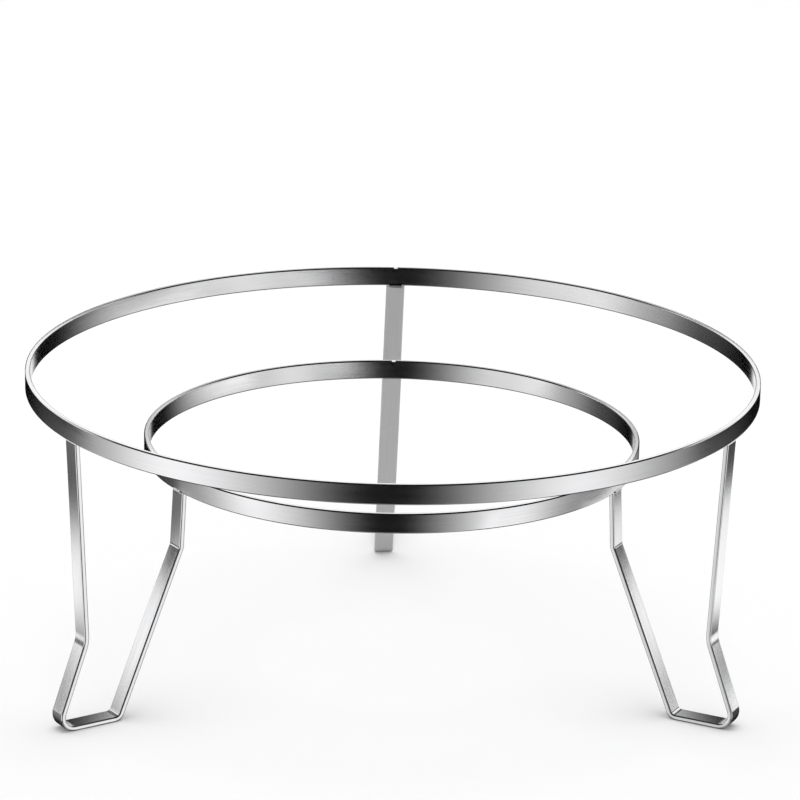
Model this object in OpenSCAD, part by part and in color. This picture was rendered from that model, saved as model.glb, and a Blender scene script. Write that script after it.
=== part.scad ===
// Pot stand: two rings rolled from flat strip, carried by three bent strip legs.
// Millimetres, +Z up, standing on z = 0. The back leg points along +Y.

/* [Strip] */
// Width of the flat strip that the rings and legs are made of
strip_w = 7; // [5:0.5:10]
// Thickness of the strip
strip_t = 1.8; // [1.4:0.1:3]
// Radius of the strip's rounded edges
edge_r = 0.5; // [0.1:0.05:0.6]

/* [Rings] */
// Outside diameter of the upper ring
upper_ring_d = 258; // [240:1:320]
// Outside diameter of the lower ring
lower_ring_d = 175; // [130:1:190]
// Height of the upper ring's top edge
stand_h = 110; // [100:1:150]
// Height of the lower ring's top edge
lower_ring_h = 85.5; // [76:0.5:95]
// Width of the welded seam that closes each ring at the back
seam_w = 1.4; // [0.6:0.1:2]

/* [Legs] */
// Turn of the two front legs from even spacing, in degrees
front_legs_turn = 3.5; // [0:0.5:10]
// Height of the knee in the outer strand
outer_knee_h = 31.5; // [22:0.5:45]
// How far the outer knee leans in from the upper ring
outer_knee_lean = 3.4; // [0:0.1:8]
// How far the foot's corner reaches past the upper ring
foot_reach = 7; // [2:0.5:14]
// Length of the flat foot between its two corners
foot_len = 24; // [16:0.5:30]
// Height of the knee in the inner strand
inner_knee_h = 58.8; // [40:0.2:64]
// How far the inner knee leans out from the lower ring
inner_knee_lean = 1.1; // [0:0.1:4]
// Turn of the back leg's strip out of square, in degrees
back_leg_skew = 8; // [0:1:12]
// How far the back foot stands aside from its joint with the upper ring
back_foot_aside = 2.6; // [0:0.1:5]

/* [Bends, at the middle of the strip] */
// Bend radius of the outer knee
outer_knee_bend = 12; // [3:0.5:20]
// Bend radius of the foot's outer corner
foot_tip_bend = 4.5; // [2.5:0.1:6]
// Bend radius of the foot's inner corner
foot_heel_bend = 2.7; // [2.5:0.1:6]
// Bend radius of the inner knee
inner_knee_bend = 4; // [2.5:0.5:12]

/* [Welds] */
// Radius of the weld beads between legs and rings
bead_r = 0.85; // [0.6:0.05:1]
// Length of those beads along the strip's width
bead_len = 6; // [3:0.25:6.5]
// How far a bead stands proud of the face it lies on
bead_proud = 0.5; // [0.3:0.05:0.55]

/* [Hidden] */
$fn = 96;

// Radii of the rings at the middle of the strip
upper_mid_r = upper_ring_d / 2 - strip_t / 2;
lower_mid_r = lower_ring_d / 2 - strip_t / 2;

// Undersides of the rings, where the legs end
upper_seat = stand_h - strip_w;
lower_seat = lower_ring_h - strip_w;

// The corners of a leg in its own plane: [distance from the stand's axis, height]
foot_tip_r = upper_ring_d / 2 + foot_reach;
foot_z = strip_t / 2;
leg_path = [
    [upper_mid_r, upper_seat],
    [upper_mid_r - outer_knee_lean, outer_knee_h],
    [foot_tip_r, foot_z],
    [foot_tip_r - foot_len, foot_z],
    [lower_mid_r + inner_knee_lean, inner_knee_h],
    [lower_mid_r, lower_seat]
];
leg_bends = [0, outer_knee_bend, foot_tip_bend, foot_heel_bend, inner_knee_bend, 0];
last = len(leg_path) - 1;
bend_step = 8;

back_angle = 90;
spacing = 120;
left_angle = back_angle + spacing + front_legs_turn;
right_angle = back_angle + 2 * spacing + front_legs_turn;
leg_angles = [back_angle, left_angle, right_angle];

// The feet reach past the rings at the back only, so the rings' axis stands a little
// forward of the middle of the whole stand, which is the origin
tip_out = bend_centre(2).x + foot_tip_bend + strip_t / 2
    + tan(back_leg_skew) * (strip_w / 2 - edge_r);
axis_y = -(tip_out - upper_ring_d / 2) / 2;

function unit(v) = v / norm(v);
function heading(i) = unit(leg_path[i + 1] - leg_path[i]);
function left_of(v) = [-v.y, v.x];
function turn(i) =
    let (a = heading(i - 1), b = heading(i))
    atan2(a.x * b.y - a.y * b.x, a * b);
function setback(i) = leg_bends[i] * tan(abs(turn(i)) / 2);
function bend_centre(i) =
    leg_path[i] - heading(i - 1) * setback(i)
        + left_of(heading(i - 1)) * sign(turn(i)) * leg_bends[i];

// A station is [middle of the strip, direction of its thickness]. A bend has one for
// each few degrees, and a straight stretch only the two that its neighbours give it.
function bend_stations(i) =
    let (
        centre = bend_centre(i),
        side = sign(turn(i)),
        steps = ceil(abs(turn(i)) / bend_step),
        out = -left_of(heading(i - 1)) * side,
        first = atan2(out.y, out.x)
    )
    [for (k = [0 : steps])
        let (a = first + turn(i) * k / steps, ray = [cos(a), sin(a)])
        [centre + ray * leg_bends[i], ray * side]];

// The strip's two ends are cut level, to seat flat under the rings
function level_station(i, way) = [leg_path[i], [sign(way.y) / abs(way.y), 0]];
leg_stations = concat(
    [level_station(0, heading(0))],
    [for (i = [1 : last - 1]) each bend_stations(i)],
    [level_station(last, heading(last - 1))]
);

// Outline of the strip's section: [across the thickness, across the width]
edge_steps = 3;
section = [
    for (corner = [0 : 3], k = [0 : edge_steps])
        let (
            a = 90 * (corner + k / edge_steps),
            x = (corner == 0 || corner == 3 ? 1 : -1) * (strip_t / 2 - edge_r),
            y = (corner < 2 ? 1 : -1) * (strip_w / 2 - edge_r)
        )
        [x + edge_r * cos(a), y + edge_r * sin(a)]
];

// One leg in the plane of X and Z: the section swept through the stations. The strip may
// be turned a little out of square, and its foot may stand aside.
module leg_strip(skew = 0, aside = 0) {
    n = len(section);
    rows = len(leg_stations);
    points = [
        for (s = leg_stations, q = section)
            let (z = s[0].y + s[1].y * q.x)
            [s[0].x + s[1].x * q.x - tan(skew) * q.y, q.y + aside * (1 - z / upper_seat), z]
    ];
    sides = [
        for (r = [0 : rows - 2], j = [0 : n - 1])
            let (k = (j + 1) % n)
            [r * n + j, r * n + k, (r + 1) * n + k, (r + 1) * n + j]
    ];
    start = [for (j = [n - 1 : -1 : 0]) j];
    end = [for (j = [0 : n - 1]) (rows - 1) * n + j];
    polyhedron(points = points, faces = concat([start], sides, [end]), convexity = 6);
}

// Section of the strip with true arcs, for what is rolled
module strip_section() {
    square([strip_t - 2 * edge_r, strip_w], center = true);
    square([strip_t, strip_w - 2 * edge_r], center = true);
    for (x = [-1, 1], y = [-1, 1])
        translate([x * (strip_t / 2 - edge_r), y * (strip_w / 2 - edge_r)])
            circle(r = edge_r);
}

module placed(angle) {
    translate([0, axis_y, 0])
        rotate([0, 0, angle])
            children();
}

// Strip rolled on edge through part of a circle
module rolled_strip(mid_r, top, angle) {
    translate([0, 0, top - strip_w / 2])
        rotate_extrude(angle = angle, $fn = 240)
            translate([mid_r, 0])
                strip_section();
}

// A ring is open by the width of its seam
function seam_angle(mid_r) = 2 * asin(seam_w / 2 / mid_r);
module ring_strip(mid_r, top) {
    gap = seam_angle(mid_r);
    placed(back_angle + gap / 2)
        rolled_strip(mid_r, top, 360 - gap);
}

// Cylinder along Y with round ends, centred
module capsule(r, length) {
    straight = length - 2 * r;
    rotate([90, 0, 0])
        cylinder(r = r, h = straight, center = true);
    for (y = [-1, 1])
        translate([0, y * straight / 2, 0])
            sphere(r = r);
}

// Upper part of a capsule, cut flat on z = 0 and standing to a height above it
module cap(r, length, proud) {
    difference() {
        translate([0, 0, proud - r])
            capsule(r, length);
        translate([-2 * r, -length, -2 * r])
            cube([4 * r, 2 * length, 2 * r]);
    }
}

// Weld metal that fills a ring's seam, dressed flush so that a pot sits flat on it
module seam_weld(mid_r, top) {
    gap = seam_angle(mid_r);
    placed(back_angle - gap / 2)
        rolled_strip(mid_r, top, gap);
}

// How far a wall of radius r curves away from the middle of a bead
function bead_sag(r) = r - sqrt(r * r - bead_len * bead_len / 4);

module upper_ring() {
    color("silver") ring_strip(upper_mid_r, stand_h);
}

module lower_ring() {
    color("silver") ring_strip(lower_mid_r, lower_ring_h);
}

module leg_back() {
    color("lightgray")
        placed(back_angle)
            leg_strip(back_leg_skew, back_foot_aside);
}

module leg_left() {
    color("lightgray") placed(left_angle) leg_strip();
}

module leg_right() {
    color("lightgray") placed(right_angle) leg_strip();
}

// Beads on the inner side of the joints under the upper ring
module upper_welds() {
    wall = upper_mid_r - strip_t / 2;
    color("gainsboro")
        for (angle = leg_angles)
            placed(angle)
                translate([wall - bead_sag(wall), 0, upper_seat])
                    rotate([0, -90, 0])
                        cap(bead_r, bead_len, bead_proud);
}

// Beads on the outer side of the joints under the lower ring
module lower_welds() {
    wall = lower_mid_r + strip_t / 2;
    color("gainsboro")
        for (angle = leg_angles)
            placed(angle)
                translate([wall, 0, lower_seat])
                    rotate([0, 90, 0])
                        cap(bead_r, bead_len, bead_proud);
}

// The seams that close the two rings
module seam_welds() {
    color("gainsboro") {
        seam_weld(upper_mid_r, stand_h);
        seam_weld(lower_mid_r, lower_ring_h);
    }
}

upper_ring();
lower_ring();
leg_back();
leg_left();
leg_right();
upper_welds();
lower_welds();
seam_welds();
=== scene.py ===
"""Pot stand: two rings of flat steel strip on three bent strip legs.

An add-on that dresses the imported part: it models the rolled rings, the bent legs and
the welds, gives them brushed steel, and sets up a pale studio around them.
"""

import math

import bmesh
import bpy
from bpy.props import FloatProperty, FloatVectorProperty, PointerProperty
from bpy.types import Operator, Panel, PropertyGroup
from mathutils import Euler, Matrix, Vector


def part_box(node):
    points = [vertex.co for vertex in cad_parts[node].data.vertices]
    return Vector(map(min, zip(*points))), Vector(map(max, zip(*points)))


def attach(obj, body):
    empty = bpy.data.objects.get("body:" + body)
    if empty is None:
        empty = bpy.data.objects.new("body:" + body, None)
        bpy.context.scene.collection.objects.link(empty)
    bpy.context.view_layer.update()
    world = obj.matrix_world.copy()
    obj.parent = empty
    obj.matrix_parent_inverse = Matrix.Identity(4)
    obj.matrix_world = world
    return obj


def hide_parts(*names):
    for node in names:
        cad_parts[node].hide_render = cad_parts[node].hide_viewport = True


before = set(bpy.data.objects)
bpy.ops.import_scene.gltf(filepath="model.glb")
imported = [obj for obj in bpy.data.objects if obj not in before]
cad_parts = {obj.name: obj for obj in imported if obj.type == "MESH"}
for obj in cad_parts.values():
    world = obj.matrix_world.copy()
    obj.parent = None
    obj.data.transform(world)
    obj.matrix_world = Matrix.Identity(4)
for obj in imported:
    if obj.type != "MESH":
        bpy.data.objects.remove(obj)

bl_info = {
    "name": "Pot stand",
    "version": (1, 0, 0),
    "blender": (4, 5, 0),
    "location": "View3D > Sidebar > Pot stand",
    "description": "Models a steel pot stand and the studio that it stands in",
    "category": "Add Mesh",
}

BODY = "root"
UP = Vector((0, 0, 1))
UV_NAME = "strip"

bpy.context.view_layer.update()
UPPER_LOW, UPPER_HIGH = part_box("upper_ring")
LOWER_LOW, LOWER_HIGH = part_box("lower_ring")
AXIS_Y = (UPPER_LOW.y + UPPER_HIGH.y) / 2

# Degrees at which the back leg and the seams stand, and from each leg to the next
BACK_ANGLE = 90
SPACING = 120

# How metallic the strip, the bright legs, the back leg and the seams' tops are
RING_METAL = 0.985
LEG_METAL = 0.96
# Half metallic, so that the back leg's colour shows as a painted even grey sheen
BACK_LEG_PAINTED_TONE_METAL = 0.5
# Barely metallic, so that the seams' tops show their colour as a painted white highlight
SEAM_HIGHLIGHT_METAL = 0.1
# How far up a face of a seam looks for it to count as the seam's top, where a white
# highlight is painted
TOP_FACING = 0.3

# How finely the strip's edges, the rings, the seams and the legs' bends are rounded
EDGE_STEPS = 4
RING_STEPS = 300
SEAM_STEPS = 4
BEND_STEP = math.radians(3)
# A turn too small to see, so that where a rolled strip starts counts as its start
START_SLIP = 0.001

# The brushing: hairs and clouds to the metre along the strip and round it, how far its
# tone and the gloss of rings and legs wander, and how much it draws highlights out
HAIRS = (30, 6000, 1)
CLOUDS = (25, 500, 1)
TONES = (0.9, 1.04)
RING_WANDER, LEG_WANDER = 0.03, 0.02
DRAW_OUT = 0.4

# The weld metal: ripples and heat patches to the metre, the ripples' depth and strength,
# how far its gloss wanders, and the straw tint of the heat
RIPPLES, HEAT_PATCHES = 1800.0, 500.0
RIPPLE_DEPTH, RIPPLE_STRENGTH = 0.0002, 0.6
WELD_WANDER = 0.1
STRAW = (0.88, 0.87, 0.84, 1)


class PotStandSizes(PropertyGroup):
    """What the strip, the rings and the legs measure"""

    strip_w: FloatProperty(
        name="Strip width", description="Width of the flat strip",
        default=0.007, min=0.005, max=0.010, unit="LENGTH", precision=4)
    strip_t: FloatProperty(
        name="Strip thickness", description="Thickness of the flat strip",
        default=0.0018, min=0.0014, max=0.003, unit="LENGTH", precision=4)
    edge_r: FloatProperty(
        name="Edge radius", description="Radius of the strip's rounded edges",
        default=0.0005, min=0.0001, max=0.0006, unit="LENGTH", precision=5)
    upper_ring_d: FloatProperty(
        name="Upper ring", description="Outside diameter of the upper ring",
        default=UPPER_HIGH.x - UPPER_LOW.x, min=0.2, max=0.4, unit="LENGTH", precision=4)
    lower_ring_d: FloatProperty(
        name="Lower ring", description="Outside diameter of the lower ring",
        default=LOWER_HIGH.x - LOWER_LOW.x, min=0.1, max=0.3, unit="LENGTH", precision=4)
    stand_h: FloatProperty(
        name="Stand height", description="Height of the upper ring's top edge",
        default=UPPER_HIGH.z, min=0.08, max=0.2, unit="LENGTH", precision=4)
    lower_ring_h: FloatProperty(
        name="Lower ring height", description="Height of the lower ring's top edge",
        default=LOWER_HIGH.z, min=0.05, max=0.15, unit="LENGTH", precision=4)
    seam_w: FloatProperty(
        name="Seam width", description="Width of the weld that closes each ring",
        default=0.0014, min=0.0006, max=0.002, unit="LENGTH", precision=5)
    front_legs_turn: FloatProperty(
        name="Front legs' turn", description="Turn of the front legs from even spacing",
        default=math.radians(3.5), min=0, max=math.radians(10), subtype="ANGLE")
    outer_knee_h: FloatProperty(
        name="Outer knee height", description="Height of the knee in the outer strand",
        default=0.0315, min=0.022, max=0.045, unit="LENGTH", precision=4)
    outer_knee_lean: FloatProperty(
        name="Outer knee lean", description="How far that knee leans in from the ring",
        default=0.0034, min=0, max=0.008, unit="LENGTH", precision=4)
    foot_reach: FloatProperty(
        name="Foot reach", description="How far the foot reaches past the upper ring",
        default=0.007, min=0.002, max=0.014, unit="LENGTH", precision=4)
    foot_len: FloatProperty(
        name="Foot length", description="Length of the flat foot between its corners",
        default=0.024, min=0.016, max=0.03, unit="LENGTH", precision=4)
    inner_knee_h: FloatProperty(
        name="Inner knee height", description="Height of the knee in the inner strand",
        default=0.0588, min=0.04, max=0.064, unit="LENGTH", precision=4)
    inner_knee_lean: FloatProperty(
        name="Inner knee lean", description="How far that knee leans out from the ring",
        default=0.0011, min=0, max=0.004, unit="LENGTH", precision=4)
    back_leg_skew: FloatProperty(
        name="Back leg's turn", description="Turn of the back leg's strip out of square",
        default=math.radians(8), min=0, max=math.radians(12), subtype="ANGLE")
    back_foot_aside: FloatProperty(
        name="Back foot aside", description="How far the back foot stands aside",
        default=0.0026, min=0, max=0.005, unit="LENGTH", precision=4)
    outer_knee_bend: FloatProperty(
        name="Outer knee bend", description="Bend radius of the outer knee",
        default=0.012, min=0.003, max=0.02, unit="LENGTH", precision=4)
    foot_tip_bend: FloatProperty(
        name="Foot's outer bend", description="Bend radius of the foot's outer corner",
        default=0.0045, min=0.0025, max=0.006, unit="LENGTH", precision=4)
    foot_heel_bend: FloatProperty(
        name="Foot's inner bend", description="Bend radius of the foot's inner corner",
        default=0.0027, min=0.0025, max=0.006, unit="LENGTH", precision=4)
    inner_knee_bend: FloatProperty(
        name="Inner knee bend", description="Bend radius of the inner knee",
        default=0.004, min=0.0025, max=0.012, unit="LENGTH", precision=4)


class PotStandFinish(PropertyGroup):
    """Colours and gloss of the steel"""

    steel: FloatVectorProperty(
        name="Steel", description="Colour of the brushed strip",
        default=(0.80, 0.80, 0.81), min=0, max=1, subtype="COLOR")
    leg_steel: FloatVectorProperty(
        name="Leg steel", description="Colour of the legs' strip",
        default=(0.78, 0.78, 0.79), min=0, max=1, subtype="COLOR")
    # Also the colour of the seams' tops, shown there as a painted white highlight
    weld_steel: FloatVectorProperty(
        name="Weld", description="Colour of the weld metal",
        default=(0.92, 0.92, 0.91), min=0, max=1, subtype="COLOR")
    gloss: FloatProperty(
        name="Roughness", description="Roughness of the brushed strip",
        default=0.15, min=0.05, max=0.6, subtype="FACTOR")
    leg_gloss: FloatProperty(
        name="Leg roughness", description="Roughness of the legs' strip",
        default=0.13, min=0.05, max=0.6, subtype="FACTOR")
    # Roughness of the back leg's half-metallic shader, whose colour shows as a painted even
    # grey sheen
    back_leg_painted_tone: FloatProperty(
        name="Satin roughness", description="Roughness of the back leg, brushed coarser",
        default=0.66, min=0.05, max=0.8, subtype="FACTOR")
    weld_gloss: FloatProperty(
        name="Weld roughness", description="Roughness of the weld metal",
        default=0.36, min=0.05, max=0.8, subtype="FACTOR")
    grain: FloatProperty(
        name="Grain depth", description="Depth of the lengthwise brushing",
        default=0.00001, min=0, max=0.0001, unit="LENGTH", precision=6)


class PotStandStudio(PropertyGroup):
    """Floor, light and camera"""

    floor: FloatVectorProperty(
        name="Floor", description="Colour of the pale floor",
        default=(0.9, 0.9, 0.9), min=0, max=1, subtype="COLOR")
    sky: FloatProperty(
        name="Sky", description="Strength of the plain light from all around",
        default=0.765, min=0, max=5)
    panels: FloatProperty(
        name="Panels", description="Brightness of the light panels that the steel mirrors",
        default=1.22, min=0, max=10)
    lens: FloatProperty(
        name="Lens", description="Focal length of the camera in millimetres",
        default=178.2, min=20, max=400)
    stand_off: FloatVectorProperty(
        name="Camera place", description="Where the camera is from the rings' axis",
        default=(0.002627, -1.33108, 0.52099), subtype="TRANSLATION")
    pitch: FloatProperty(
        name="Pitch", description="How far the camera looks down",
        default=0.308, min=0, max=1.5, subtype="ANGLE")
    roll: FloatProperty(
        name="Roll", description="How far the camera is turned about its own axis",
        default=0.02, min=-0.1, max=0.1, subtype="ANGLE")


def sizes():
    return bpy.context.scene.pot_stand_sizes


def finish():
    return bpy.context.scene.pot_stand_finish


def studio():
    return bpy.context.scene.pot_stand_studio


def lay_out(tree, kind, inputs=None, **settings):
    """Adds a node, with its settings and its inputs' values or links."""
    node = tree.nodes.new(kind)
    for key, value in settings.items():
        setattr(node, key, value)
    for key, value in (inputs or {}).items():
        if isinstance(value, bpy.types.NodeSocket):
            tree.links.new(value, node.inputs[key])
        else:
            node.inputs[key].default_value = value
    return node


def new_material(name):
    material = bpy.data.materials.new(name)
    material.use_nodes = True
    tree = material.node_tree
    tree.nodes.clear()
    return material, tree


def brushed_steel(name, colour, gloss, grain_depth, wander, metallic=RING_METAL):
    """Strip brushed along its length, with softly uneven gloss."""
    material, tree = new_material(name)
    strip = lay_out(tree, "ShaderNodeUVMap", uv_map=UV_NAME).outputs["UV"]
    along = lay_out(tree, "ShaderNodeMapping", {"Vector": strip, "Scale": HAIRS})
    hair = lay_out(tree, "ShaderNodeTexNoise", {
        "Vector": along.outputs["Vector"], "Scale": 1.0, "Detail": 3.0, "Roughness": 0.6})
    broad = lay_out(tree, "ShaderNodeMapping", {"Vector": strip, "Scale": CLOUDS})
    cloud = lay_out(tree, "ShaderNodeTexNoise", {
        "Vector": broad.outputs["Vector"], "Scale": 1.0, "Detail": 2.0})
    rough = lay_out(tree, "ShaderNodeMapRange", {
        "Value": cloud.outputs["Fac"], "From Min": 0.3, "From Max": 0.7,
        "To Min": gloss - wander, "To Max": gloss + wander})
    tone = lay_out(tree, "ShaderNodeMapRange", {
        "Value": hair.outputs["Fac"], "From Min": 0.25, "From Max": 0.75,
        "To Min": TONES[0], "To Max": TONES[1]})
    tint = lay_out(tree, "ShaderNodeVectorMath", {
        0: tuple(colour), "Scale": tone.outputs["Result"]}, operation="SCALE")
    bump = lay_out(tree, "ShaderNodeBump", {
        "Height": hair.outputs["Fac"], "Distance": grain_depth, "Strength": 1.0})
    tangent = lay_out(
        tree, "ShaderNodeTangent", direction_type="UV_MAP", uv_map=UV_NAME)
    shader = lay_out(tree, "ShaderNodeBsdfPrincipled", {
        "Base Color": tint.outputs["Vector"], "Metallic": metallic,
        "Roughness": rough.outputs["Result"], "Anisotropic": DRAW_OUT,
        "Tangent": tangent.outputs["Tangent"], "Normal": bump.outputs["Normal"]})
    lay_out(tree, "ShaderNodeOutputMaterial", {"Surface": shader.outputs["BSDF"]})
    return material


def weld_metal(name, metallic=1.0):
    """Weld metal: rippled, duller than the strip, with a faint straw heat tint."""
    values = finish()
    material, tree = new_material(name)
    place = lay_out(tree, "ShaderNodeTexCoord").outputs["Object"]
    ripple = lay_out(tree, "ShaderNodeTexNoise", {
        "Vector": place, "Scale": RIPPLES, "Detail": 2.0})
    patch = lay_out(tree, "ShaderNodeTexNoise", {"Vector": place, "Scale": HEAT_PATCHES})
    heat = lay_out(tree, "ShaderNodeMix", {
        "Factor": patch.outputs["Fac"], "A": (*values.weld_steel, 1),
        "B": STRAW}, data_type="RGBA")
    rough = lay_out(tree, "ShaderNodeMapRange", {
        "Value": ripple.outputs["Fac"], "To Min": values.weld_gloss - WELD_WANDER,
        "To Max": values.weld_gloss + WELD_WANDER})
    bump = lay_out(tree, "ShaderNodeBump", {
        "Height": ripple.outputs["Fac"], "Distance": RIPPLE_DEPTH,
        "Strength": RIPPLE_STRENGTH})
    shader = lay_out(tree, "ShaderNodeBsdfPrincipled", {
        "Base Color": heat.outputs["Result"], "Metallic": metallic,
        "Roughness": rough.outputs["Result"], "Normal": bump.outputs["Normal"]})
    lay_out(tree, "ShaderNodeOutputMaterial", {"Surface": shader.outputs["BSDF"]})
    return material


def keep(bm, name, material, slot, *nodes):
    """Turns a bmesh into a finished piece on the stand's body."""
    mesh = bpy.data.meshes.new(name)
    bmesh.ops.recalc_face_normals(bm, faces=bm.faces)
    for face in bm.faces:
        face.smooth = True
        if len(face.verts) > 4:
            for edge in face.edges:
                edge.smooth = False
    bm.to_mesh(mesh)
    bm.free()
    mesh.materials.append(material)
    piece = bpy.data.objects.new(name, mesh)
    bpy.context.scene.collection.objects.link(piece)
    flat = piece.modifiers.new("Flat faces", "WEIGHTED_NORMAL")
    flat.weight = 100
    flat.keep_sharp = True
    piece.visible_glossy = False
    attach(piece, BODY)
    if nodes:
        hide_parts(*nodes)
    return piece


def strip_section(bm):
    """The strip's rounded section, with its thickness along X and its width along Y."""
    s = sizes()
    strip_layer(bm, "along")
    around = strip_layer(bm, "around")
    others = set(bm.faces)
    made = bmesh.ops.create_grid(bm, x_segments=1, y_segments=1, size=0.5)
    bmesh.ops.scale(bm, verts=made["verts"], vec=(s.strip_t, s.strip_w, 1))
    bmesh.ops.bevel(
        bm, geom=made["verts"], offset=s.edge_r, offset_type="OFFSET",
        segments=EDGE_STEPS,
        profile=0.5, affect="VERTICES", material=-1)
    face = next(f for f in bm.faces if f not in others)
    reach = 0.0
    for loop in face.loops:
        loop.vert[around] = reach
        reach += loop.edge.calc_length()
    return face, reach


def strip_layer(bm, name):
    """A number kept on each point of the strip: how far along it or round it that is."""
    layers = bm.verts.layers.float
    return layers.get(name) or layers.new(name)


def lay_grain(bm, girth):
    """Gives the strip a UV map: metres along it and metres round its section."""
    along, around = strip_layer(bm, "along"), strip_layer(bm, "around")
    layer = bm.loops.layers.uv.new(UV_NAME)
    for face in bm.faces:
        turns = [loop.vert[around] for loop in face.loops]
        wraps = max(turns) - min(turns) > girth / 2
        for loop, turn in zip(face.loops, turns):
            loop[layer].uv = (
                loop.vert[along],
                turn + girth if wraps and turn < girth / 2 else turn)


def placed(angle):
    """From a leg's own plane to its place on the stand."""
    return Matrix.Translation((0, AXIS_Y, 0)) @ Matrix.Rotation(angle, 4, "Z")


def rolled_strip(bm, mid_r, top, first, sweep, steps):
    """Spins the section round the rings' axis from one angle through another."""
    s = sizes()
    others = set(bm.verts)
    face, girth = strip_section(bm)
    stand_up = Matrix.Rotation(math.radians(90), 4, "X")
    start = Matrix.Translation((mid_r, 0, top - s.strip_w / 2)) @ stand_up
    bmesh.ops.transform(bm, verts=face.verts[:], matrix=placed(first) @ start)
    bmesh.ops.spin(
        bm, geom=[face], cent=(0, AXIS_Y, 0), axis=UP, dvec=(0, 0, 0), angle=sweep,
        steps=steps, use_merge=False, use_normal_flip=False, use_duplicate=False)
    along = strip_layer(bm, "along")
    for vert in bm.verts:
        if vert not in others:
            turn = math.atan2(vert.co.y - AXIS_Y, vert.co.x) - first + START_SLIP
            vert[along] = mid_r * (turn % math.tau)
    return girth


def ring_mids():
    s = sizes()
    return (
        (s.upper_ring_d / 2 - s.strip_t / 2, s.stand_h),
        (s.lower_ring_d / 2 - s.strip_t / 2, s.lower_ring_h))


def seam_half(mid_r):
    return math.asin(sizes().seam_w / 2 / mid_r)


class POTSTAND_OT_rings(Operator):
    """Roll the upper and lower rings from brushed strip, each open at its seam"""

    bl_idname = "pot_stand.rings"
    bl_label = "Rings"

    def execute(self, context):
        values = finish()
        steel = brushed_steel(
            "ring_strip", values.steel, values.gloss, values.grain, RING_WANDER)
        for name, (mid_r, top) in zip(("upper_ring", "lower_ring"), ring_mids()):
            bm = bmesh.new()
            half = seam_half(mid_r)
            girth = rolled_strip(
                bm, mid_r, top, math.radians(BACK_ANGLE) + half, math.tau - 2 * half,
                RING_STEPS)
            lay_grain(bm, girth)
            keep(bm, "brushed_" + name, steel, "ring_steel", name)
        return {"FINISHED"}


def leg_corners():
    """The corners of a leg in its own plane, and the radius that each is bent to."""
    s = sizes()
    upper_mid = s.upper_ring_d / 2 - s.strip_t / 2
    lower_mid = s.lower_ring_d / 2 - s.strip_t / 2
    tip = s.upper_ring_d / 2 + s.foot_reach
    sole = s.strip_t / 2
    return [
        (Vector((upper_mid, s.stand_h - s.strip_w)), 0),
        (Vector((upper_mid - s.outer_knee_lean, s.outer_knee_h)), s.outer_knee_bend),
        (Vector((tip, sole)), s.foot_tip_bend),
        (Vector((tip - s.foot_len, sole)), s.foot_heel_bend),
        (Vector((lower_mid + s.inner_knee_lean, s.inner_knee_h)), s.inner_knee_bend),
        (Vector((lower_mid, s.lower_ring_h - s.strip_w)), 0),
    ]


def bent_strip(bm, corners):
    """Draws the section down a leg: straight runs by extrusion, bends by small turns."""
    face, girth = strip_section(bm)
    along = strip_layer(bm, "along")
    start = corners[0][0]
    bmesh.ops.translate(bm, verts=bm.verts[:], vec=(start.x, 0, start.y))
    front = list(face.edges)
    reach = 0.0
    at = start
    heading = None

    def draw_to(point, turn):
        nonlocal front, reach, at
        moved = bmesh.ops.extrude_edge_only(bm, edges=front)["geom"]
        verts = [g for g in moved if isinstance(g, bmesh.types.BMVert)]
        front = [
            g for g in moved if isinstance(g, bmesh.types.BMEdge)
            and all(v in verts for v in g.verts)]
        reach += (point - at).length
        bmesh.ops.translate(bm, verts=verts, vec=(point.x - at.x, 0, point.y - at.y))
        bmesh.ops.rotate(
            bm, verts=verts, cent=(point.x, 0, point.y),
            matrix=Matrix.Rotation(-turn, 3, "Y"))
        for vert in verts:
            vert[along] = reach
        at = point

    for here, (corner, bend) in enumerate(corners[1:], 1):
        way = (corner - corners[here - 1][0]).normalized()
        first_turn = 0
        if heading is None:
            heading = math.atan2(way.y, way.x)
            first_turn = heading + math.pi / 2
        if here == len(corners) - 1:
            draw_to(corner, math.copysign(math.pi / 2, way.y) - heading)
            break
        following = (corners[here + 1][0] - corner).normalized()
        turn = math.atan2(way.cross(following), way.dot(following))
        setback = bend * math.tan(abs(turn) / 2)
        centre = corner - way * setback + Vector((-way.y, way.x)) * math.copysign(bend, turn)
        arm = corner - way * setback - centre
        draw_to(corner - way * setback, first_turn)
        steps = max(2, math.ceil(abs(turn) / BEND_STEP))
        for k in range(1, steps + 1):
            swung = Matrix.Rotation(turn * k / steps, 2) @ arm
            draw_to(centre + swung, turn / steps)
        heading += turn
    bmesh.ops.contextual_create(bm, geom=front)
    lay_grain(bm, girth)


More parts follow.
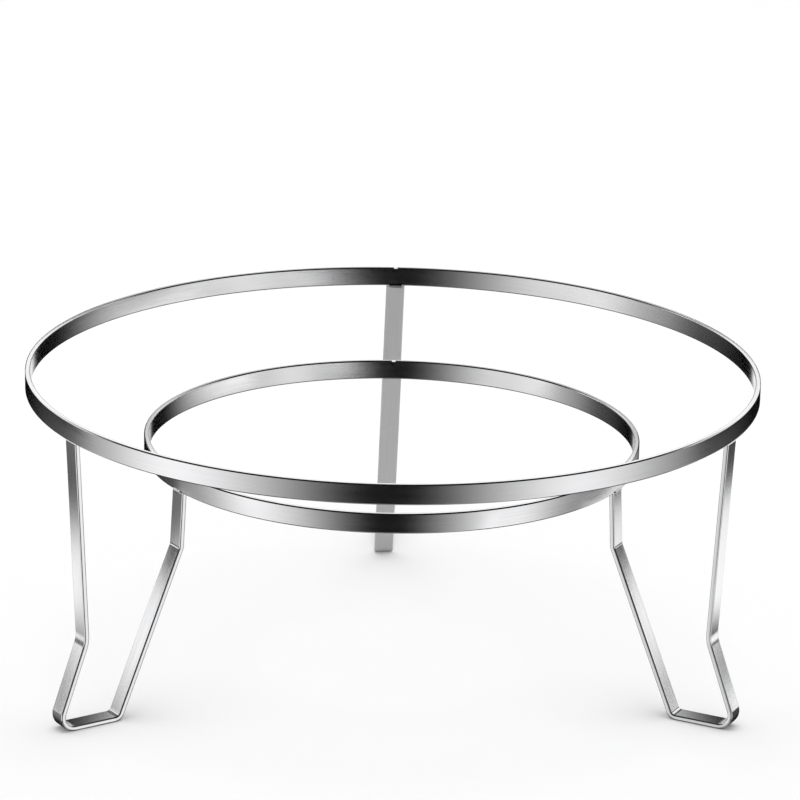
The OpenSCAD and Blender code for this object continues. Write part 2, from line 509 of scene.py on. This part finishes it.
class POTSTAND_OT_legs(Operator):
    """Bend the three legs from strip, each from ring to foot and back up"""

    bl_idname = "pot_stand.legs"
    bl_label = "Legs"

    def execute(self, context):
        values = finish()
        s = sizes()
        turn = s.front_legs_turn
        bright = brushed_steel(
            "leg_strip", values.leg_steel, values.leg_gloss, values.grain, LEG_WANDER,
            LEG_METAL)
        # The back leg is the same steel with a half-metallic shader, whose colour shows as a
        # painted even grey sheen
        back_leg_painted_tone = brushed_steel(
            "back_leg_painted_tone_strip", values.leg_steel, values.back_leg_painted_tone, values.grain, RING_WANDER,
            BACK_LEG_PAINTED_TONE_METAL)
        angles = {
            "leg_back": math.radians(BACK_ANGLE),
            "leg_left": math.radians(BACK_ANGLE + SPACING) + turn,
            "leg_right": math.radians(BACK_ANGLE + 2 * SPACING) + turn,
        }
        for name, angle in angles.items():
            bm = bmesh.new()
            bent_strip(bm, leg_corners())
            if name == "leg_back":
                # Its strip is turned out of square, and its foot stands aside
                seat = s.stand_h - s.strip_w
                bmesh.ops.transform(bm, verts=bm.verts[:], matrix=Matrix((
                    (1, -math.tan(s.back_leg_skew), 0, 0),
                    (0, 1, -s.back_foot_aside / seat, s.back_foot_aside),
                    (0, 0, 1, 0), (0, 0, 0, 1))))
            bmesh.ops.transform(bm, verts=bm.verts[:], matrix=placed(angle))
            steel = back_leg_painted_tone if name == "leg_back" else bright
            keep(bm, "bent_" + name, steel, "leg_steel", name)
        return {"FINISHED"}


class POTSTAND_OT_welds(Operator):
    """Fill the rings' seams, ground flush, paint a white highlight on their tops, and give
    the weld beads their metal
    """

    bl_idname = "pot_stand.welds"
    bl_label = "Welds"

    def execute(self, context):
        values = finish()
        metal = weld_metal("weld_metal")
        for name in ("upper_welds", "lower_welds"):
            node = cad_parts[name]
            node.data.materials.clear()
            node.data.materials.append(metal)

        ground = brushed_steel(
            "ground_seam", values.steel, values.gloss, values.grain, RING_WANDER)
        bm = bmesh.new()
        for mid_r, top in ring_mids():
            half = seam_half(mid_r)
            girth = rolled_strip(
                bm, mid_r, top, math.radians(BACK_ANGLE) - half, 2 * half, SEAM_STEPS)
        lay_grain(bm, girth)
        seams = keep(bm, "ground_seams", ground, "weld_steel", "seam_welds")
        # The seams' tops get a barely metallic weld, whose colour shows as a painted white
        # highlight
        seams.data.materials.append(weld_metal("seam_top_painted_highlight", SEAM_HIGHLIGHT_METAL))
        for face in seams.data.polygons:
            if face.normal.z > TOP_FACING:
                face.material_index = 1
        return {"FINISHED"}


def number(tree, operation, first, second=0.0):
    """One step of arithmetic in a material, on numbers or on other nodes' results."""
    node = lay_out(tree, "ShaderNodeMath", {0: first, 1: second}, operation=operation)
    return node.outputs["Value"]


def window(tree, value, rise=None, fall=None):
    """1 between a soft rise and a soft fall of a value, and 0 outside them."""
    parts = []
    for edge, levels in ((rise, (0.0, 1.0)), (fall, (1.0, 0.0))):
        if edge:
            parts.append(lay_out(tree, "ShaderNodeMapRange", {
                "Value": value, "From Min": edge[0], "From Max": edge[1],
                "To Min": levels[0], "To Max": levels[1]},
                interpolation_type="SMOOTHSTEP").outputs["Result"])
    return number(tree, "MULTIPLY", parts[0], parts[1]) if len(parts) == 2 else parts[0]


def distance(tree, x, y):
    """How far from the studio's middle a point is, seen from above."""
    return number(tree, "SQRT", number(
        tree, "ADD", number(tree, "MULTIPLY", x, x), number(tree, "MULTIPLY", y, y)))


def bearing(tree):
    """Where a point of the studio is: degrees from the front, right being positive,
    degrees above the level, and its X, Y and Z."""
    place = lay_out(tree, "ShaderNodeTexCoord").outputs["Object"]
    split = lay_out(tree, "ShaderNodeSeparateXYZ", {"Vector": place}).outputs
    x, y, z = split["X"], split["Y"], split["Z"]
    turn = number(tree, "DEGREES", number(
        tree, "ARCTAN2", x, number(tree, "MULTIPLY", y, -1.0)))
    lift = number(tree, "DEGREES", number(tree, "ARCTAN2", z, distance(tree, x, y)))
    return turn, lift, x, y, z


TENT_FOOT = (-38, -25)

# Each panel of the tent: brightness, the degrees from the front between which it comes
# up and goes down, and the degrees above the level between which it does so
TENT_PANELS = (
    (1.0, (-122, -66), (-70, -6), TENT_FOOT, (-4, 8)),
    (0.92, (5, 60), (56, 114), TENT_FOOT, (-4, 8)),
    (0.1, (-155, -108), (-105, -90), TENT_FOOT, (-12, -8)),
    (0.1, (80, 100), (100, 150), TENT_FOOT, (-12, -8)),
    (1.0, None, (-108, -92), (-5, 0), (27, 37)),
    (1.0, (92, 108), None, (-6, -2), (27, 37)),
    (0.9, None, (-176, -168), TENT_FOOT, (-12, -6)),
    (0.9, (168, 176), None, TENT_FOOT, (-12, -6)),
    (0.3, (-60, -35), (45, 70), None, (-45, -33)),
)


def tent_light(tree, strength):
    """How bright the tent is in each direction: white panels with dark gaps between."""
    turn, lift = bearing(tree)[:2]
    total = 0.0
    for level, rise, fall, low, high in TENT_PANELS:
        glow = number(
            tree, "MULTIPLY", window(tree, lift, low, high), window(tree, turn, rise, fall))
        total = number(tree, "ADD", number(tree, "MULTIPLY", glow, level), total)
    return number(tree, "MULTIPLY", total, strength)


# Points round each round piece of the studio
ROUND = 96
FLOOR_RADIUS, FLOOR_ROUGHNESS = 40, 0.9
TENT_RADIUS = 2.5
LAMP_WIDTH, LAMP_POWER, LAMP_PLACE = 3.0, 43, (0, 0.1, 3.0)
# The nearest and the farthest that the camera sees
NEAREST, FARTHEST = 0.05, 100


def set_out(name, bm, material, mirrored_only=True):
    """Adds a piece of the studio. Most of them are seen only in the steel."""
    mesh = bpy.data.meshes.new(name)
    bm.to_mesh(mesh)
    bm.free()
    mesh.materials.append(material)
    thing = bpy.data.objects.new(name, mesh)
    if mirrored_only:
        thing.visible_camera = False
        thing.visible_diffuse = False
        thing.visible_transmission = False
        thing.visible_volume_scatter = False
        thing.visible_shadow = False
    bpy.context.scene.collection.objects.link(thing)
    return thing


def glow_card(name, level, cover):
    """A card that shines with one brightness where cover is 1 and is clear where it is 0."""
    material, tree = new_material(name)
    shine = lay_out(tree, "ShaderNodeEmission", {"Strength": level})
    clear = lay_out(tree, "ShaderNodeBsdfTransparent")
    blend = lay_out(tree, "ShaderNodeMixShader", {
        0: cover(tree), 1: clear.outputs["BSDF"], 2: shine.outputs["Emission"]})
    lay_out(tree, "ShaderNodeOutputMaterial", {"Surface": blend.outputs["Shader"]})
    return material


# The mirrored table's radius and how far under the floor its first layer lies
TABLE_REACH, TABLE_DROP = 0.34, 0.001
# How dark the table is under the patches, and the degrees from the front where that begins
TABLE_SHADE, SHADE_BEHIND = 0.27, (50, 75)
# How far aside the slanting edges of a patch lie as deep as the table below says
PATCH_MIDDLE = 0.2

# Each bright patch on the table: its side, the distances from the middle between which
# it comes up, those aside between which it goes down, how far its front and back edges
# slant, between which distances back they lie, and the degrees at which it fades behind
TABLE_PATCHES = (
    (-1.0, (0.155, 0.21), (0.228, 0.302), 0.54, (-0.06, -0.02), (-0.008, 0.018), None),
    (1.0, (0.166, 0.198), (0.27, 0.294), 0.0, (-0.05, 0.0), None, (95, 160)),
)

# Heights on the wall between which its dark foot ends and its dark top begins, and how
# far each of them drops to the right
WALL_FOOT, FOOT_TILT = (-0.004, 0.04), 0.018
WALL_TOP, TOP_TILT = (0.066, 0.073), 0.029
# The wall stands behind these degrees from the front; its radius, height and middle
WALL_BEHIND = (88, 100)
WALL_RADIUS, WALL_HEIGHT, WALL_MIDDLE = 0.42, 0.13, 0.063
# The flag: how far from its middle, and above which heights, it turns dark and half dark,
# then its width and height and the place of its middle
FLAG_MIDDLE, FLAG_ASIDE, FLAG_ABOVE, FLAG_SHADE = 0.004, (0.09, 0.134), (0.104, 0.113), 0.5
FLAG_SIZE, FLAG_PLACE = (0.4, 0.09), (0, 0.17, 0.106)


def patches_cover(tree):
    """Two soft patches on the table, left and right of the stand."""
    turn, _, x, y, _ = bearing(tree)
    turned = number(tree, "ABSOLUTE", turn)
    reach = distance(tree, x, y)
    total = 0.0
    for side, rise, fall, slant, front, back, fade in TABLE_PATCHES:
        aside = number(tree, "MULTIPLY", x, side)
        behind = number(tree, "ADD", number(
            tree, "MULTIPLY", number(tree, "ADD", aside, -PATCH_MIDDLE), -slant), y)
        patch = number(
            tree, "MULTIPLY", window(tree, reach, rise), window(tree, aside, None, fall))
        patch = number(tree, "MULTIPLY", patch, window(tree, behind, front, back))
        if fade:
            one_side = number(tree, "GREATER_THAN", aside, 0.0)
            patch = number(tree, "MULTIPLY", patch, window(tree, turned, None, fade))
            patch = number(tree, "MULTIPLY", patch, one_side)
        total = number(tree, "ADD", patch, total)
    return total


def shade_cover(tree):
    """The table beside and behind the stand, a little darker than the tent."""
    turned = number(tree, "ABSOLUTE", bearing(tree)[0])
    return number(tree, "MULTIPLY", window(tree, turned, SHADE_BEHIND), TABLE_SHADE)


def wall_cover(tree):
    """Dark foot and dark top of a low wall beside and behind the stand."""
    turn, _, x, _, z = bearing(tree)
    foot = number(tree, "ADD", z, number(tree, "MULTIPLY", x, FOOT_TILT))
    top = number(tree, "ADD", z, number(tree, "MULTIPLY", x, TOP_TILT))
    dark = number(
        tree, "ADD", window(tree, foot, None, WALL_FOOT), window(tree, top, WALL_TOP))
    return number(
        tree, "MULTIPLY", dark,
        window(tree, number(tree, "ABSOLUTE", turn), WALL_BEHIND))


def flag_cover(tree):
    """Dark at the far left and right, and half dark above the middle."""
    x, _, z = bearing(tree)[2:]
    aside = number(tree, "ABSOLUTE", number(tree, "ADD", x, -FLAG_MIDDLE))
    middle = number(tree, "MULTIPLY", window(tree, z, FLAG_ABOVE), FLAG_SHADE)
    return number(tree, "MAXIMUM", window(tree, aside, FLAG_ASIDE), middle)


class POTSTAND_OT_studio(Operator):
    """Set out the floor, the light panels, the sky and the camera"""

    bl_idname = "pot_stand.studio"
    bl_label = "Studio"

    def execute(self, context):
        scene = context.scene
        values = studio()
        scene.view_settings.view_transform = "Standard"

        paint, tree = new_material("floor_paint")
        shader = lay_out(tree, "ShaderNodeBsdfPrincipled", {
            "Base Color": (*values.floor, 1), "Roughness": FLOOR_ROUGHNESS})
        lay_out(tree, "ShaderNodeOutputMaterial", {"Surface": shader.outputs["BSDF"]})
        bm = bmesh.new()
        bmesh.ops.create_circle(bm, cap_ends=True, segments=ROUND, radius=FLOOR_RADIUS)
        floor = set_out("floor", bm, paint, mirrored_only=False)
        floor.visible_glossy = False

        glow, tree = new_material("tent_glow")
        shine = lay_out(tree, "ShaderNodeEmission", {
            "Strength": tent_light(tree, values.panels)})
        lay_out(tree, "ShaderNodeOutputMaterial", {"Surface": shine.outputs["Emission"]})
        bm = bmesh.new()
        bmesh.ops.create_uvsphere(
            bm, u_segments=ROUND, v_segments=ROUND // 2, radius=TENT_RADIUS)
        set_out("light_tent", bm, glow)

        for name, drop, level, cover in (
                ("table_patches", TABLE_DROP, values.panels, patches_cover),
                ("table_shade", 2 * TABLE_DROP, 0.0, shade_cover)):
            bm = bmesh.new()
            bmesh.ops.create_circle(bm, cap_ends=True, segments=ROUND, radius=TABLE_REACH)
            bmesh.ops.translate(bm, verts=bm.verts[:], vec=(0, 0, -drop))
            set_out(name, bm, glow_card(name, level, cover))

        bm = bmesh.new()
        bmesh.ops.create_cone(
            bm, cap_ends=False, segments=ROUND, radius1=WALL_RADIUS, radius2=WALL_RADIUS,
            depth=WALL_HEIGHT)
        bmesh.ops.translate(bm, verts=bm.verts[:], vec=(0, 0, WALL_MIDDLE))
        set_out("dark_wall", bm, glow_card("dark_wall", 0.0, wall_cover))

        bm = bmesh.new()
        bmesh.ops.create_grid(bm, x_segments=1, y_segments=1, size=0.5)
        bmesh.ops.scale(bm, verts=bm.verts[:], vec=(*FLAG_SIZE, 1))
        bmesh.ops.rotate(
            bm, verts=bm.verts[:], cent=(0, 0, 0),
            matrix=Matrix.Rotation(math.radians(90), 3, "X"))
        bmesh.ops.translate(bm, verts=bm.verts[:], vec=FLAG_PLACE)
        set_out("dark_flag", bm, glow_card("dark_flag", 0.0, flag_cover))

        sky = bpy.data.worlds.new("sky")
        sky.use_nodes = True
        backdrop = sky.node_tree.nodes["Background"]
        backdrop.inputs["Color"].default_value = (1, 1, 1, 1)
        backdrop.inputs["Strength"].default_value = values.sky
        scene.world = sky

        soft = bpy.data.lights.new("overhead", "AREA")
        soft.shape = "DISK"
        soft.size = LAMP_WIDTH
        soft.energy = LAMP_POWER
        lamp = bpy.data.objects.new("overhead", soft)
        lamp.location = LAMP_PLACE
        lamp.visible_glossy = False
        lamp.visible_camera = False
        scene.collection.objects.link(lamp)

        camera_data = bpy.data.cameras.new("camera")
        camera_data.lens = values.lens
        camera_data.clip_start, camera_data.clip_end = NEAREST, FARTHEST
        camera = bpy.data.objects.new("camera", camera_data)
        camera.location = Vector(values.stand_off) + Vector((0, AXIS_Y, 0))
        aim = Euler((math.pi / 2 - values.pitch, 0, 0)).to_matrix()
        camera.rotation_euler = (
            aim @ Matrix.Rotation(values.roll, 3, "Z")).to_euler()
        scene.collection.objects.link(camera)
        scene.camera = camera
        return {"FINISHED"}


class POTSTAND_PT_sidebar(Panel):
    """Lists the stand's pieces and every value that shapes them"""

    bl_label = "Pot stand"
    bl_idname = "POTSTAND_PT_sidebar"
    bl_space_type = "VIEW_3D"
    bl_region_type = "UI"
    bl_category = "Pot stand"

    def draw(self, context):
        layout = self.layout
        scene = context.scene
        for operator in OPERATORS:
            layout.operator(operator.bl_idname)
        for group in (
                scene.pot_stand_sizes, scene.pot_stand_finish, scene.pot_stand_studio):
            column = layout.column(align=True)
            for key in group.__annotations__:
                column.prop(group, key)


GROUPS = {
    "pot_stand_sizes": PotStandSizes,
    "pot_stand_finish": PotStandFinish,
    "pot_stand_studio": PotStandStudio,
}
OPERATORS = (
    POTSTAND_OT_studio, POTSTAND_OT_rings, POTSTAND_OT_legs, POTSTAND_OT_welds)


def register():
    for cls in (*GROUPS.values(), *OPERATORS, POTSTAND_PT_sidebar):
        bpy.utils.register_class(cls)
    for name, group in GROUPS.items():
        setattr(bpy.types.Scene, name, PointerProperty(type=group))


def unregister():
    for name in GROUPS:
        delattr(bpy.types.Scene, name)
    for cls in reversed((*GROUPS.values(), *OPERATORS, POTSTAND_PT_sidebar)):
        bpy.utils.unregister_class(cls)


def main():
    register()
    bpy.ops.pot_stand.studio()
    bpy.ops.pot_stand.rings()
    bpy.ops.pot_stand.legs()
    bpy.ops.pot_stand.welds()


if __name__ == "__main__":
    main()
